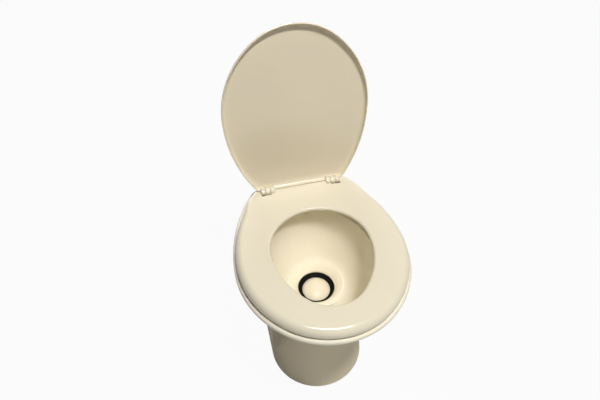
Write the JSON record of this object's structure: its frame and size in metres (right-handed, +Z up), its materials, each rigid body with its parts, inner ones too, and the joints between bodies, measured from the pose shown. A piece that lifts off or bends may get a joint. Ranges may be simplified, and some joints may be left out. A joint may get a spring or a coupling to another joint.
{
  "type": "rv toilet",
  "caption": "Low floor-mounted camper toilet with hinged seat and lid, a round bowl outlet closed by a turning half ball, a foot pedal that opens it, and a rinse valve.",
  "frame": {"origin": "on the floor, on the axis of the drain outlet", "axes": "+Z up; -Y towards the front of the seat; +X towards the pedal, on the right as seen from the front"},
  "size_m": [0.3915, 0.4608, 0.8319],
  "materials": {
    "bone_shell": "moulded, glossy bone",
    "bone_gloss": "moulded, glossy bone",
    "bone_trim": "moulded, satin bone",
    "pale_ball": "polished",
    "white_plastic": "moulded",
    "nylon": "natural nylon",
    "gear_plastic": "moulded",
    "black_rubber": "smooth",
    "grey_rubber": "smooth",
    "pale_rubber": "smooth",
    "steel": "stainless"
  },
  "bodies": {
    "frame": {"bowl": "bone_shell", "pedestal": "bone_shell", "hinge_post_left": "bone_gloss", "hinge_post_right": "bone_gloss", "hinge_pin_left": "nylon", "hinge_pin_right": "nylon", "hinge_bolts": "nylon", "hinge_washers": "white_plastic", "hinge_nuts": "white_plastic", "outlet_seal": "black_rubber", "valve_housing": "white_plastic", "clamp_band": "steel", "clamp_screw": "steel", "floor_seal": "black_rubber", "shaft_bush_rear": "nylon", "shaft_bush_front": "nylon", "pedal_bracket": "white_plastic", "bracket_screws": "steel", "return_spring": "steel", "water_valve": "white_plastic", "valve_post": "nylon", "supply_hose": "grey_rubber", "hose_clamps": "steel", "vacuum_breaker": "bone_trim", "breaker_cap": "bone_trim", "rinse_nozzle": "bone_trim"},
    "seat": {"seat": "bone_gloss", "seat_bumpers": "pale_rubber"},
    "lid": {"lid": "bone_gloss"},
    "pedal": {"pedal_shaft": "steel", "pedal_lever": "bone_gloss", "pedal_tread": "black_rubber", "sector_gear": "gear_plastic", "valve_cam": "gear_plastic"},
    "ball": {"flush_ball": "pale_ball", "ball_drive_shaft": "steel", "ball_pivot_pin": "steel", "ball_pinion": "gear_plastic"},
    "plunger": {"valve_plunger": "nylon"}
  },
  "joints": [
    {"name": "seat_hinge", "type": "hinge", "parent": "frame", "child": "seat", "pos_m": [0, 0.156, 0.456], "axis": [-1, 0, 0], "range_deg": [0, 95]},
    {"name": "lid_hinge", "type": "hinge", "parent": "seat", "child": "lid", "pos_m": [0, 0.156, 0.456], "axis": [1, 0, 0], "range_deg": [0, 98.4]},
    {"name": "pedal_press", "type": "hinge", "parent": "frame", "child": "pedal", "pos_m": [0.068, 0.054, 0.10841], "axis": [0, 1, 0], "range_deg": [0, 30], "stiffness_Nm_per_rad": 2, "springref_deg": -17.19, "deforming": ["return_spring"]},
    {"name": "ball_turn", "type": "hinge", "parent": "frame", "child": "ball", "pos_m": [0, 0, 0.21721], "axis": [0, 1, 0], "range_deg": [-90, 0]},
    {"name": "plunger_lift", "type": "slide", "parent": "frame", "child": "plunger", "axis": [0, 0, 1], "range_m": [0, 0.0126]}
  ],
  "couplings": [
    {"joint": "ball_turn", "follows": "pedal_press", "ratio": -3},
    {"joint": "plunger_lift", "follows": "pedal_press", "m_per_rad": 0.024}
  ]
}
